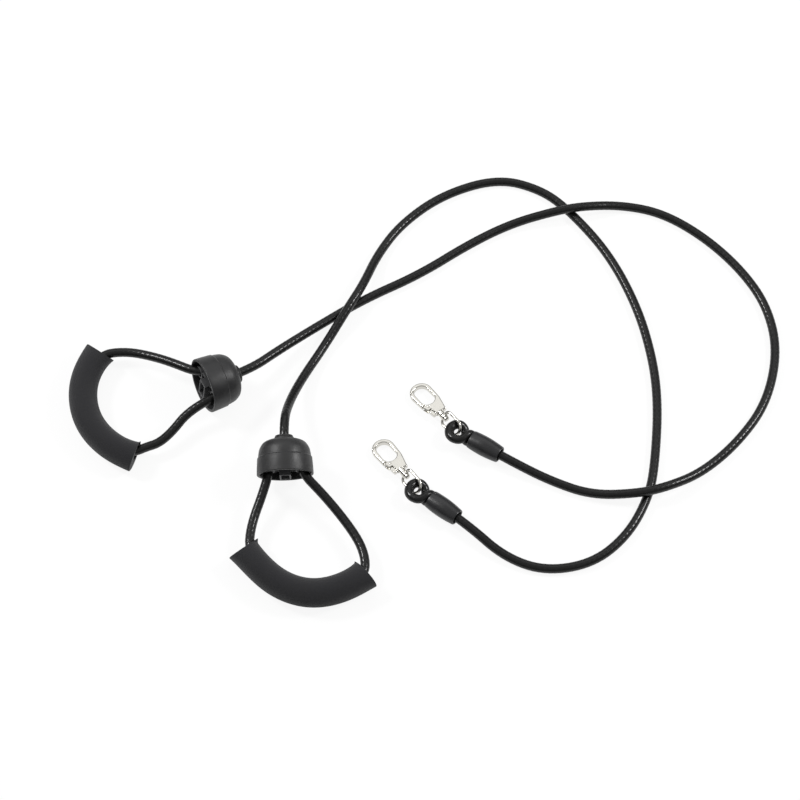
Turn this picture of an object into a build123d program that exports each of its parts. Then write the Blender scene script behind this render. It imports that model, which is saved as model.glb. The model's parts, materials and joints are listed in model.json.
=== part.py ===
from build123d import *
import math
import os
from dataclasses import dataclass

# A pair of equal resistance bands that lie across each other on a table.
# Each band runs from a foam hand grip, through a bell shaped stopper, along an
# elastic cord to a moulded end sleeve, a cord eye and a swivelling snap hook.
# Frame: +Z up, table at z = 0, origin under the middle of everything that isn't cord.

# ---------------------------------------------------------------- driving sizes (mm)
cord_diameter = 8.0
eye_cord_diameter = 7.0  # the cord is pulled thinner where it is drawn round the eye
seat_gap = 0.02  # radial room between a cord end and the socket that holds it
overcut = 1.0  # how far a cut or a joined block runs past the face it meets

grip_arc_radius = 67.0
grip_length = 130.0
grip_diameter = 25.0
grip_bore = 13.0
grip_slide_angle = 3.0  # degrees each way that the grip can creep round its loop

bell_rim_radius = 24.5
bell_band_length = 15.0
bell_band_taper = 0.9
bell_step = 0.6
bell_shoulder_length = 18.0
bell_shoulder_drop = 0.5
bell_dome_mid_length = 26.0
bell_dome_mid_radius = 20.3
bell_crown_length = 30.0
bell_crown_radius = 14.0
bell_dome_length = 30.6
bell_wall = 2.6
neck_radius = 8.2
neck_length = 2.4
bush_wall = 2.0
bush_lip = 1.6
bush_lip_round = 1.0
bush_step = 0.4  # how far the bush stands back from the bell's inner face and rim
bush_clearance = 0.3
bush_seat_gap = 0.05

leg_offset = 14.0  # from the bell's axis to each leg of the hand loop
core_clearance = 0.6
core_plate_start = 8.0
core_plate_thickness = 4.0
leg_socket_wall = 1.6
leg_socket_start = 3.0
leg_depth = 11.0
leg_exit = 4.5  # how far the legs run straight out of the rim before they turn
block_width = 10.0
block_height = 19.0
block_wall = 1.5
block_drop = 5.0
block_reach = 1.0  # how far the block stands out of the bell's rim
block_rib = 1.2
web_thickness = 1.6
web_pitch = 7.2
loop_ferrule_radius = 6.2
loop_ferrule_end = 25.0
loop_ferrule_chamfer = 0.5
main_cord_start = 22.0
neck_exit = 46.0  # from the rim to the main cord's first bend

sleeve_length = 29.5
sleeve_mouth_width = 16.6
sleeve_mouth_height = 11.2
sleeve_middle_diameter = 17.4
sleeve_tail_diameter = 14.6
sleeve_tail_wall = 1.6
sleeve_edge_round = 0.7
strand_spread = 7.8  # centre to centre of the two eye strands
eye_seat_depth = 4.5
eye_ferrule_start = 3.0
eye_ferrule_end = 17.0
eye_ferrule_width = 15.2
eye_ferrule_height = 8.8
eye_ferrule_gap = 0.05
main_seat_depth = 16.0
sleeve_exit = 12.5  # how far the main cord runs straight out of the sleeve before it bends

eye_centre_reach = 12.0
eye_radius = 8.45

bail_wire = 2.6
bail_spacing = 14.0
bail_slack = 3.3
bail_shoulder = 4.0  # radius at which the wire turns in to the boss
bail_boss_start = 11.0
bail_boss_length = 3.6
bail_boss_radius = 3.3
bail_boss_round = 0.7
rivet_radius = 1.5
rivet_fit = 0.05
rivet_head_radius = 2.7
rivet_head_length = 2.4
rivet_head_round = 1.4
rivet_tail = 2.0  # how deep the rivet sits in the hook's base
swivel_gap = 0.3

hook_thickness = 5.2
hook_base = 18.0
hook_base_width = 12.8
hook_waist_centre = 33.0
hook_waist_radius = 9.7  # swells the outline between the base and the bow
hook_base_flat = 3.0
hook_bow_centre = 45.0
hook_bow_radius = 10.3
hook_seat_radius = 6.5
hook_throat_centre = 36.8
hook_throat_radius = 6.8
hook_edge_round = 1.5
hook_seat_round = 0.9
hook_collar_radius = 3.0

gate_pivot_x = 28.5
gate_pivot_y = 4.6
gate_root_radius = 2.7
gate_root_thickness = 2.6
gate_root_taper = 0.6
gate_slot_gap = 0.25
gate_gap = 0.35
gate_tip_x = 49.5
gate_tip_slant = 1.4  # the seam leans so that the tip clears the nose as it swings in
gate_arm_start = 31.5
gate_root_lean = 1.6  # keeps the arm's inner corner off the cheeks as it swings in
gate_line = 2.0  # the gate is parted from the hook along this distance from its middle
lever_end_x = 18.6
lever_width = 2.8
lever_thickness = 3.6
lever_drop = 0.6  # how far the lever's end leans in towards the base
lever_lean = 1.0  # how much deeper the base is cut away under the lever's end
lever_round = 0.8
pin_radius = 0.9
pin_fit = 0.05
spring_wire = 0.35
spring_turns = 3
spring_radius = 1.45
spring_pocket_gap = 0.25
spring_rise = 1.15  # the coil's pitch over its wire's thickness
spring_cut = 3.5  # square opening that lets the spring's legs out of the gate's root

cord_radius = cord_diameter / 2
eye_cord_radius = eye_cord_diameter / 2
grip_radius = grip_diameter / 2
sleeve_radius = sleeve_middle_diameter / 2
UP = Vector(0, 0, 1)


# ---------------------------------------------------------------- where each band lies
@dataclass
class Band:
    """One band: where its rigid pieces lie, and the routes of its cords."""

    name: str
    grip_centre: tuple  # centre of the grip's arc
    grip_middle: float  # heading from that centre to the middle of the grip, degrees
    bell_rim: tuple  # centre of the bell's open rim
    bell_heading: float  # heading of the bell's axis, rim to neck, degrees
    bell_tilt: float  # how far the neck points up, degrees
    sleeve_mouth: tuple
    sleeve_heading: float  # heading from the sleeve to its eye, degrees
    hook_heading: float
    bail_roll: float  # how far the swivel eye is turned about the hook's axis, degrees
    hand_loop: list
    main_run: list


LEFT = Band(
    name="left",
    grip_centre=(-111.8, 80.1),
    grip_middle=198.4,
    bell_rim=(-72.9, 78.5, 25.4),
    bell_heading=27.0,
    bell_tilt=-8.0,
    sleeve_mouth=(160.8, 34.8),
    sleeve_heading=147.4,
    hook_heading=128.0,
    bail_roll=54.0,
    hand_loop=[
        (-104.0, 106.5, 20.0),
        (-124.0, 117.5, 15.0),
        (-143.0, 123.0, 12.8),
        (-160.0, 125.8, 12.5),
        (-175.7, 103.4, 12.5),
        (-179.6, 75.4, 12.5),
        (-171.8, 48.2, 12.5),
        (-152.7, 25.8, 12.5),
        (-123.3, 14.8, 12.5),
        (-107.0, 27.0, 13.0),
        (-96.5, 41.5, 15.0),
        (-84.0, 57.0, 19.5),
    ],
    main_run=[
        (-8.0, 122.5, 13.0),
        (28.0, 152.0, 6.2),
        (66.0, 183.0, 4.0),
        (113.0, 214.5, 4.0),
        (160.0, 243.5, 4.0),
        (200.0, 264.5, 4.0),
        (238.0, 273.5, 20.0),
        (264.5, 279.5, 20.0),
        (303.0, 285.5, 4.0),
        (341.0, 279.0, 4.0),
        (379.0, 251.5, 4.0),
        (411.0, 215.0, 4.0),
        (431.0, 175.0, 4.0),
        (436.0, 127.0, 4.0),
        (424.0, 72.0, 4.0),
        (395.0, 31.0, 4.0),
        (362.0, 1.0, 4.0),
        (329.0, -14.5, 20.0),
        (303.0, -20.0, 20.0),
        (264.0, -19.5, 4.0),
        (229.0, -5.0, 4.0),
    ],
)

RIGHT = Band(
    name="right",
    grip_centre=(29.8, -49.3),
    grip_middle=256.6,
    bell_rim=(0.5, -8.9, 23.4),
    bell_heading=92.5,
    bell_tilt=17.0,
    sleeve_mouth=(125.1, -24.1),
    sleeve_heading=141.4,
    hook_heading=125.5,
    bail_roll=52.0,
    hand_loop=[
        (-22.5, -31.0, 17.0),
        (-31.0, -49.0, 12.8),
        (-34.3, -66.4, 12.5),
        (-23.0, -92.1, 12.5),
        (2.1, -111.4, 12.5),
        (31.0, -117.3, 12.5),
        (59.6, -110.4, 12.5),
        (79.3, -93.5, 12.5),
        (74.5, -78.5, 12.5),
        (62.5, -65.0, 12.6),
        (49.5, -44.0, 13.8),
        (33.0, -25.5, 17.8),
    ],
    main_run=[
        (4.0, 62.0, 21.0),
        (17.0, 93.0, 7.0),
        (37.0, 129.0, 4.0),
        (54.5, 165.5, 20.0),
        (66.0, 191.0, 20.0),
        (79.0, 229.0, 4.0),
        (100.0, 264.0, 4.0),
        (138.0, 297.5, 4.0),
        (189.0, 312.0, 4.0),
        (229.0, 301.0, 4.0),
        (256.0, 277.0, 4.0),
        (292.0, 232.5, 4.0),
        (318.0, 175.0, 4.0),
        (328.0, 118.0, 4.0),
        (327.0, 72.0, 4.0),
        (323.0, 15.0, 4.0),
        (316.0, -19.0, 4.0),
        (294.0, -56.0, 4.0),
        (262.5, -81.0, 4.0),
        (222.0, -93.0, 4.0),
        (186.0, -80.0, 4.0),
    ],
)

# The cord eye's half outline in the sleeve's own frame: reach from the mouth, then sideways.
EYE_HALF = [(3.3, strand_spread / 2), (8.0, 9.1), (17.0, 9.2)]
EYE_TIP = (21.5, 0.0)


# ---------------------------------------------------------------- frames and small helpers
def heading_vector(heading, tilt=0.0):
    """Unit vector at a heading in the table's plane, tipped up by tilt, both in degrees."""
    level = math.cos(math.radians(tilt))
    return Vector(
        level * math.cos(math.radians(heading)),
        level * math.sin(math.radians(heading)),
        math.sin(math.radians(tilt)),
    )


def bell_plane(band):
    """Origin at the rim's centre, Z along the axis to the neck, X level, Y up."""
    axis = heading_vector(band.bell_heading, band.bell_tilt)
    return Plane(origin=band.bell_rim, x_dir=heading_vector(band.bell_heading + 90), z_dir=axis)


def sleeve_plane(band):
    """Origin at the sleeve's mouth, Z along the sleeve to its cord end, X level."""
    x, y = band.sleeve_mouth
    into = heading_vector(band.sleeve_heading + 180)
    across = heading_vector(band.sleeve_heading + 90)
    return Plane(origin=(x, y, sleeve_radius), x_dir=across, z_dir=into)


def hook_plane(band):
    """Origin in the cord eye, X along the hook to its bow, Z out of the hook's face."""
    x, y = band.sleeve_mouth
    eye = Vector(x, y, sleeve_radius) + heading_vector(band.sleeve_heading) * eye_centre_reach
    origin = eye + heading_vector(band.hook_heading) * eye_radius
    reach = hook_bow_centre + hook_bow_radius
    droop = math.degrees(math.asin((origin.Z - hook_thickness / 2) / reach))
    along = heading_vector(band.hook_heading, -droop)
    side = heading_vector(band.hook_heading + 90)
    return Plane(origin=origin, x_dir=along, z_dir=along.cross(side))


def bail_plane(band):
    """The hook's plane, rolled about the hook's axis."""
    hook = hook_plane(band)
    roll = math.radians(-band.bail_roll)
    side = hook.y_dir * math.cos(roll) + hook.z_dir * math.sin(roll)
    return Plane(origin=hook.origin, x_dir=hook.x_dir, z_dir=hook.x_dir.cross(side))


def corner_radii(points):
    """The largest arc that each corner of a route has room for."""
    radii = []
    for before, here, after in zip(points, points[1:], points[2:]):
        run_in = here - before
        run_out = after - here
        half_turn = math.radians(run_in.get_angle(run_out)) / 2
        radii.append(0.45 * min(run_in.length, run_out.length) / math.tan(half_turn))
    return radii


def cord_tube(name, points, radius):
    """A round tube along straight runs joined by tangent arcs."""
    points = [Vector(*point) for point in points]
    radii = corner_radii(points)
    with BuildPart() as tube:
        with BuildLine() as route:
            FilletPolyline(*points, radius=radii)
        with BuildSketch(Plane(origin=points[0], z_dir=points[1] - points[0])):
            Circle(radius)
        sweep(path=route.wires()[0])
    length = route.wires()[0].length
    expected = math.pi * radius**2 * length
    print(f"{name}: length {length:.1f} mm, radii {' '.join(f'{r:.0f}' for r in radii)}")
    print(f"   volume {tube.part.volume:.0f}, section times length {expected:.0f}")
    save(tube.part, name)


def save(part, name):
    """Label a finished piece and write it under its own name."""
    part.label = name
    export_step(part, f"parts/{name}.step")


# ---------------------------------------------------------------- hand loop
def make_grip(band):
    """Foam tube, bent to an arc by the cord inside it."""
    half_angle = math.degrees(grip_length / grip_arc_radius) / 2
    start = band.grip_middle - half_angle
    centre = Vector(*band.grip_centre, grip_radius)
    outward = heading_vector(start)
    end_face = Plane(
        origin=centre + outward * grip_arc_radius,
        x_dir=outward,
        z_dir=heading_vector(start + 90),
    )
    with BuildPart() as grip:
        with BuildSketch(end_face):
            Circle(grip_radius)
            Circle(grip_bore / 2, mode=Mode.SUBTRACT)
        revolve(axis=Axis(centre, UP), revolution_arc=2 * half_angle)
    save(grip.part, f"{band.name}_grip_sleeve")


def make_hand_loop(band):
    """Cord from one leg socket of the core, through the grip, to the other socket."""
    plane = bell_plane(band)
    legs = []
    for x in (leg_offset, -leg_offset):
        seat = plane.from_local_coords(Vector(x, 0, leg_depth))
        bend = plane.from_local_coords(Vector(x, 0, -leg_exit))
        legs.append([seat, bend])
    points = [*legs[0], *band.hand_loop, *reversed(legs[1])]
    cord_tube(f"{band.name}_loop_cord", points, cord_radius)


# ---------------------------------------------------------------- stopper bell
def bell_shoulder_radius():
    """Outer radius where the bell's dome begins."""
    return bell_rim_radius - bell_band_taper - bell_step - bell_shoulder_drop


def bell_inner_radius(depth):
    """Radius of the bell's inner wall at a depth from the rim, below the dome."""
    rim = bell_rim_radius - bell_wall
    shoulder = bell_shoulder_radius() - bell_wall
    return rim + (shoulder - rim) * depth / bell_shoulder_length


def make_bell(band):
    """Hollow bell with a proud band at the rim, a domed crown and a short neck."""
    band_end = bell_rim_radius - bell_band_taper
    crown_start = band_end - bell_step
    shoulder = bell_shoulder_radius()
    neck_bore = cord_radius + bush_clearance + bush_wall + bush_seat_gap
    plane = bell_plane(band)
    section = Plane(origin=plane.origin, x_dir=plane.x_dir, z_dir=-plane.y_dir)
    with BuildPart() as bell:
        with BuildSketch(section):
            with BuildLine():
                Polyline(
                    (bell_rim_radius - bell_wall, 0),
                    (bell_rim_radius, 0),
                    (band_end, bell_band_length),
                    (crown_start, bell_band_length + bell_step),
                    (shoulder, bell_shoulder_length),
                )
                ThreePointArc(
                    (shoulder, bell_shoulder_length),
                    (bell_dome_mid_radius, bell_dome_mid_length),
                    (bell_crown_radius, bell_crown_length),
                )
                Polyline(
                    (bell_crown_radius, bell_crown_length),
                    (neck_radius, bell_dome_length),
                    (neck_radius, bell_dome_length + neck_length),
                    (neck_bore, bell_dome_length + neck_length),
                    (neck_bore, bell_dome_length - bell_wall),
                    (bell_crown_radius - bell_wall / 2, bell_crown_length - bell_wall),
                )
                ThreePointArc(
                    (bell_crown_radius - bell_wall / 2, bell_crown_length - bell_wall),
                    (bell_dome_mid_radius - bell_wall, bell_dome_mid_length - bell_wall / 2),
                    (shoulder - bell_wall, bell_shoulder_length),
                )
                Line(
                    (shoulder - bell_wall, bell_shoulder_length),
                    (bell_rim_radius - bell_wall, 0),
                )
            make_face()
        revolve(axis=Axis(plane.origin, plane.z_dir))
        rim = bell.edges().filter_by(GeomType.CIRCLE).sort_by(Axis(plane.origin, plane.z_dir))
        fillet(rim[:2], bell_wall / 4)
    save(bell.part, f"{band.name}_stopper_bell")


def make_bush(band):
    """Flanged bush that lines the neck and lets the cord run through."""
    bore = cord_radius + bush_clearance
    plane = bell_plane(band)
    neck_start = bell_dome_length - bell_wall + bush_step
    with BuildPart() as bush:
        with BuildSketch(plane.offset(neck_start)):
            Circle(bore + bush_wall)
        extrude(amount=bell_dome_length + neck_length - neck_start)
        with BuildSketch(plane.offset(bell_dome_length + neck_length)):
            Circle(neck_radius - bush_step)
        extrude(amount=bush_lip)
        rings = bush.edges().filter_by(GeomType.CIRCLE)
        fillet(rings.sort_by(Axis(plane.origin, plane.z_dir))[-1], bush_lip_round)
        with BuildSketch(plane.offset(neck_start)):
            Circle(bore)
        extrude(amount=bell_dome_length, mode=Mode.SUBTRACT)
    save(bush.part, f"{band.name}_neck_bush")


def make_core(band):
    """Insert that fills the bell: a plate, two leg sockets and a ribbed middle block."""
    plane = bell_plane(band)
    plate_radius = bell_inner_radius(core_plate_start + core_plate_thickness) - core_clearance
    socket_radius = cord_radius + seat_gap + leg_socket_wall
    block_side = block_width / 2
    rib_pitch = (block_width - web_thickness) / 2
    with BuildPart() as core:
        with BuildSketch(plane.offset(core_plate_start)):
            Circle(plate_radius)
        extrude(amount=core_plate_thickness)
        with BuildSketch(plane.offset(leg_socket_start)):
            with Locations((-leg_offset, 0), (leg_offset, 0)):
                Circle(socket_radius)
        extrude(amount=core_plate_start - leg_socket_start + overcut)
        with BuildSketch(plane.offset(-block_reach)):
            with Locations((0, -block_drop)):
                Rectangle(block_width, block_height)
                Rectangle(
                    block_width - 2 * block_wall,
                    block_height - 2 * block_wall,
                    mode=Mode.SUBTRACT,
                )
            with Locations((0, -block_drop - (block_height + block_rib) / 2)):
                with GridLocations(rib_pitch, 0, 3, 1):
                    Rectangle(web_thickness, block_rib)
        extrude(amount=core_plate_start + block_reach + overcut)
        with BuildSketch(plane.offset(leg_socket_start + overcut)):
            with GridLocations(leg_offset - cord_radius + block_side, web_pitch, 2, 2):
                Rectangle(leg_offset - cord_radius - block_side, web_thickness)
        extrude(amount=core_plate_start - leg_socket_start)
        with BuildSketch(plane):
            with Locations((-leg_offset, 0), (leg_offset, 0)):
                Circle(cord_radius + seat_gap)
        extrude(amount=leg_depth, mode=Mode.SUBTRACT)
    save(core.part, f"{band.name}_loop_core")


def make_loop_ferrule(band):
    """Metal ferrule that holds the main cord to the back of the core (hidden by the bell)."""
    plane = bell_plane(band)
    start = core_plate_start + core_plate_thickness
    with BuildPart() as ferrule:
        with BuildSketch(plane.offset(start)):
            Circle(loop_ferrule_radius)
        extrude(amount=loop_ferrule_end - start)
        chamfer(ferrule.edges(), loop_ferrule_chamfer)
        with BuildSketch(plane.offset(main_cord_start)):
            Circle(cord_radius + seat_gap)
        extrude(amount=loop_ferrule_end, mode=Mode.SUBTRACT)
    save(ferrule.part, f"{band.name}_loop_ferrule")


# ---------------------------------------------------------------- main cord and its end
def make_main_cord(band):
    """Elastic cord from the loop ferrule to the ferrule in the end sleeve."""
    bell = bell_plane(band)
    first = bell.from_local_coords(Vector(0, 0, main_cord_start))
    neck = bell.from_local_coords(Vector(0, 0, neck_exit))
    sleeve = sleeve_plane(band)
    outside = sleeve.from_local_coords(Vector(0, 0, sleeve_length + sleeve_exit))
    last = sleeve.from_local_coords(Vector(0, 0, main_seat_depth))
    points = [first, neck, *band.main_run, outside, last]
    cord_tube(f"{band.name}_main_cord", points, cord_radius)


def make_sleeve(band):
    """Moulded sleeve: oval at the eye, barrel shaped in the middle, open at the cord end."""
    plane = sleeve_plane(band)
    with BuildPart() as sleeve:
        with BuildSketch(plane):
            Ellipse(sleeve_mouth_width / 2, sleeve_mouth_height / 2)
        with BuildSketch(plane.offset(sleeve_length / 2)):
            Circle(sleeve_radius)
        with BuildSketch(plane.offset(sleeve_length)):
            Circle(sleeve_tail_diameter / 2)
        loft()
        ends = sleeve.faces().filter_by(GeomType.PLANE)
        fillet(ends.edges(), sleeve_edge_round)
        with BuildSketch(plane):
            with GridLocations(strand_spread, 0, 2, 1):
                Circle(eye_cord_radius + seat_gap)
        extrude(amount=eye_ferrule_start + overcut, mode=Mode.SUBTRACT)
        with BuildSketch(plane.offset(eye_ferrule_start)):
            SlotOverall(
                eye_ferrule_width + 2 * eye_ferrule_gap,
                eye_ferrule_height + 2 * eye_ferrule_gap,
            )
        extrude(amount=eye_ferrule_end - eye_ferrule_start + eye_ferrule_gap, mode=Mode.SUBTRACT)
        with BuildSketch(plane.offset(eye_ferrule_end)):
            Circle(sleeve_tail_diameter / 2 - sleeve_tail_wall)
        extrude(amount=sleeve_length, mode=Mode.SUBTRACT)
    save(sleeve.part, f"{band.name}_end_sleeve")


def make_eye_ferrule(band):
    """Flat metal ferrule inside the sleeve, with sockets for the main cord and both strands."""
    plane = sleeve_plane(band)
    with BuildPart() as ferrule:
        with BuildSketch(plane.offset(eye_ferrule_start)):
            SlotOverall(eye_ferrule_width, eye_ferrule_height)
        extrude(amount=eye_ferrule_end - eye_ferrule_start)
        with BuildSketch(plane.offset(eye_ferrule_start)):
            with GridLocations(strand_spread, 0, 2, 1):
                Circle(eye_cord_radius + seat_gap)
        extrude(amount=eye_seat_depth - eye_ferrule_start, mode=Mode.SUBTRACT)
        with BuildSketch(plane.offset(main_seat_depth)):
            Circle(cord_radius + seat_gap)
        extrude(amount=eye_ferrule_end, mode=Mode.SUBTRACT)
    save(ferrule.part, f"{band.name}_eye_ferrule")


def make_eye_cord(band):
    """The cord's end, drawn into a small eye that holds the swivel."""
    plane = sleeve_plane(band)
    strand = strand_spread / 2
    outline = [(-eye_seat_depth, -strand)]
    outline += [(reach, -side) for reach, side in EYE_HALF]
    outline += [EYE_TIP]
    outline += [(reach, side) for reach, side in reversed(EYE_HALF)]
    outline += [(-eye_seat_depth, strand)]
    points = [plane.from_local_coords(Vector(side, 0, -reach)) for reach, side in outline]
    cord_tube(f"{band.name}_eye_cord", points, eye_cord_radius)


# ---------------------------------------------------------------- swivel and hook
def make_swivel_eye(band):
    """Stirrup of round wire through the cord eye, closed by a boss that the hook turns in."""
    plane = bail_plane(band)
    wire = bail_wire / 2
    bend = bail_spacing / 2
    bend_centre = bend - (eye_cord_radius + bail_slack + wire)
    top = bail_boss_start + bail_boss_length / 2
    turn = bail_shoulder * (1 - math.sqrt(0.5))
    boss = Plane(
        origin=plane.from_local_coords(Vector(bail_boss_start, 0, 0)),
        z_dir=plane.x_dir,
    )
    start = Plane(origin=plane.from_local_coords(Vector(top, rivet_radius, 0)), z_dir=plane.y_dir)
    with BuildPart() as bail:
        with BuildSketch(boss):
            Circle(bail_boss_radius)
        extrude(amount=bail_boss_length)
        fillet(bail.edges().filter_by(GeomType.CIRCLE), bail_boss_round)
        with BuildLine(plane) as route:
            Line((top, rivet_radius), (top, bend - bail_shoulder))
            ThreePointArc(
                (top, bend - bail_shoulder),
                (top - turn, bend - turn),
                (top - bail_shoulder, bend),
            )
            Line((top - bail_shoulder, bend), (bend_centre, bend))
            ThreePointArc((bend_centre, bend), (bend_centre - bend, 0), (bend_centre, -bend))
            Line((bend_centre, -bend), (top - bail_shoulder, -bend))
            ThreePointArc(
                (top - bail_shoulder, -bend),
                (top - turn, turn - bend),
                (top, bail_shoulder - bend),
            )
            Line((top, bail_shoulder - bend), (top, -rivet_radius))
        with BuildSketch(start):
            Circle(wire)
        sweep(path=route.wires()[0])
        with BuildSketch(boss.offset(-overcut)):
            Circle(rivet_radius + rivet_fit)
        extrude(amount=bail_boss_length + 2 * overcut, mode=Mode.SUBTRACT)
    save(bail.part, f"{band.name}_swivel_eye")


def make_swivel_rivet(band):
    """Headed rivet that ties the hook to the swivel eye and lets it turn."""
    hook = hook_plane(band)
    head_end = bail_boss_start - swivel_gap
    head_start = head_end - rivet_head_length
    head = Plane(origin=hook.from_local_coords(Vector(head_start, 0, 0)), z_dir=hook.x_dir)
    with BuildPart() as rivet:
        with BuildSketch(head):
            Circle(rivet_head_radius)
        extrude(amount=rivet_head_length)
        rings = rivet.edges().filter_by(GeomType.CIRCLE)
        fillet(rings.sort_by(Axis(head.origin, head.z_dir))[0], rivet_head_round)
        with BuildSketch(head):
            Circle(rivet_radius)
        extrude(amount=hook_base + rivet_tail - head_start)
    save(rivet.part, f"{band.name}_swivel_rivet")


def clasp_blank(plane):
    """The hook's whole rounded outline with its opening, before the gate is parted off."""
    with BuildPart() as blank:
        with BuildSketch(plane):
            with Locations((hook_bow_centre, 0)):
                Circle(hook_bow_radius)
            with Locations((hook_waist_centre, 0)):
                Circle(hook_waist_radius)
            with Locations((hook_base + hook_base_flat / 2, 0)):
                Rectangle(hook_base_flat, hook_base_width)
            make_hull()
        extrude(amount=hook_thickness / 2, both=True)
        faces = blank.faces().filter_by(Axis(plane.origin, plane.z_dir)).sort_by(SortBy.AREA)[-2:]
        fillet(faces.edges(), hook_edge_round)
        with BuildSketch(plane):
            with Locations((hook_bow_centre, 0)):
                Circle(hook_seat_radius)
            with Locations((hook_throat_centre, 0)):
                Circle(hook_throat_radius)
            make_hull()
        extrude(amount=hook_thickness, both=True, mode=Mode.SUBTRACT)
        faces = blank.faces().filter_by(Axis(plane.origin, plane.z_dir)).sort_by(SortBy.AREA)[-2:]
        inner = faces[0].inner_wires().edges() + faces[1].inner_wires().edges()
        fillet(inner, hook_seat_round)
    return blank.part


def gate_outline(grow, lean):
    """Outline of the gate's arm, larger by grow on the sides that face the body."""
    edge = gate_arm_start - grow
    tip = gate_tip_x + grow
    far = hook_bow_radius + 3 * overcut
    return [
        (edge + lean, gate_line),
        (tip + gate_tip_slant, gate_line),
        (tip - gate_tip_slant, far),
        (edge, far),
    ]


def make_hook_body(band):
    """Cast hook: bow with its nose, spine, forked root for the gate and a turned collar."""
    plane = hook_plane(band)
    blank = clasp_blank(plane)
    slot = gate_root_thickness + 2 * gate_slot_gap
    lever_line = gate_pivot_y - gate_gap
    slot_line = gate_pivot_y - gate_root_radius - gate_gap
    slot_end = gate_arm_start + overcut
    lever_start = hook_base - overcut
    pivot_side = gate_pivot_x - gate_root_radius
    far = hook_bow_radius + 3 * overcut
    collar_start = bail_boss_start + bail_boss_length + swivel_gap
    collar = Plane(origin=plane.from_local_coords(Vector(collar_start, 0, 0)), z_dir=plane.x_dir)
    with BuildPart() as hook:
        add(blank)
        with BuildSketch(collar):
            Circle(hook_collar_radius)
        extrude(amount=hook_base - collar_start + overcut)
        with BuildSketch(plane):
            with BuildLine():
                Polyline(*gate_outline(gate_gap, 0), close=True)
            make_face()
        extrude(amount=hook_thickness, both=True, mode=Mode.SUBTRACT)
        with BuildSketch(plane):
            with Locations((gate_pivot_x, gate_pivot_y)):
                Circle(gate_root_radius + gate_gap)
            with BuildLine():
                Polyline(
                    (lever_start, lever_line - lever_lean),
                    (gate_pivot_x, slot_line),
                    (slot_end, slot_line),
                    (slot_end, far),
                    (lever_start, far),
                    close=True,
                )
            make_face()
        extrude(amount=slot / 2, both=True, mode=Mode.SUBTRACT)
        with BuildSketch(plane):
            with BuildLine():
                Polyline(
                    (lever_start, lever_line - lever_lean),
                    (pivot_side, lever_line),
                    (pivot_side, far),
                    (lever_start, far),
                    close=True,
                )
            make_face()
        extrude(amount=hook_thickness, both=True, mode=Mode.SUBTRACT)
        with BuildSketch(plane):
            with Locations((gate_pivot_x, gate_pivot_y)):
                Circle(pin_radius)
        extrude(amount=hook_thickness, both=True, mode=Mode.SUBTRACT)
        with BuildSketch(collar):
            Circle(rivet_radius)
        extrude(amount=hook_base + rivet_tail - collar_start, mode=Mode.SUBTRACT)
    save(hook.part, f"{band.name}_hook_body")


def make_gate(band):
    """Gate arm with a thin root between the hook's cheeks and a thumb lever behind it."""
    plane = hook_plane(band)
    arm = clasp_blank(plane)
    root_side = gate_pivot_x - gate_root_radius / 2
    grip_side = gate_pivot_x - gate_root_radius - overcut
    lever_tip = gate_pivot_y - lever_drop
    with BuildPart() as gate:
        add(arm)
        with BuildSketch(plane):
            with BuildLine():
                Polyline(*gate_outline(0, gate_root_lean), close=True)
            make_face()
        extrude(amount=hook_thickness, both=True, mode=Mode.INTERSECT)
        with BuildSketch(plane):
            with Locations((gate_pivot_x, gate_pivot_y)):
                Circle(gate_root_radius)
            with BuildLine():
                Polyline(
                    (gate_pivot_x, gate_pivot_y - gate_root_radius + gate_root_taper),
                    (gate_arm_start + overcut, gate_pivot_y),
                    (gate_arm_start + overcut, gate_pivot_y + gate_root_radius + overcut),
                    (gate_pivot_x, gate_pivot_y + gate_root_radius),
                    close=True,
                )
            make_face()
        extrude(amount=gate_root_thickness / 2, both=True)
        with BuildSketch(plane):
            with BuildLine():
                Polyline(
                    (root_side, gate_pivot_y),
                    (lever_end_x, lever_tip),
                    (lever_end_x, lever_tip + lever_width),
                    (root_side, gate_pivot_y + lever_width),
                    close=True,
                )
            make_face()
        extrude(amount=gate_root_thickness / 2, both=True)
        with BuildSketch(plane):
            with BuildLine():
                Polyline(
                    (grip_side, gate_pivot_y),
                    (lever_end_x, lever_tip),
                    (lever_end_x, lever_tip + lever_width),
                    (grip_side, gate_pivot_y + lever_width),
                    close=True,
                )
            make_face()
            fillet(vertices(), lever_round)
        extrude(amount=lever_thickness / 2, both=True)
        with BuildSketch(plane):
            with Locations((gate_pivot_x, gate_pivot_y)):
                Circle(pin_radius + pin_fit)
        extrude(amount=hook_thickness, both=True, mode=Mode.SUBTRACT)
        with BuildSketch(plane):
            with Locations((gate_pivot_x, gate_pivot_y)):
                Circle(spring_radius + spring_wire / 2 + spring_pocket_gap)
            with Locations((gate_pivot_x - spring_cut / 2, gate_pivot_y - spring_cut / 2)):
                Rectangle(spring_cut, spring_cut)
        pocket = spring_wire * (spring_turns + 1) + 2 * spring_pocket_gap
        extrude(amount=pocket / 2, both=True, mode=Mode.SUBTRACT)
    save(gate.part, f"{band.name}_hook_gate")


def make_gate_pin(band):
    """Pin through both cheeks of the hook, on which the gate turns."""
    plane = hook_plane(band)
    with BuildPart() as pin:
        with BuildSketch(plane):
            with Locations((gate_pivot_x, gate_pivot_y)):
                Circle(pin_radius)
        extrude(amount=hook_thickness / 2, both=True)
    save(pin.part, f"{band.name}_gate_pin")


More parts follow.
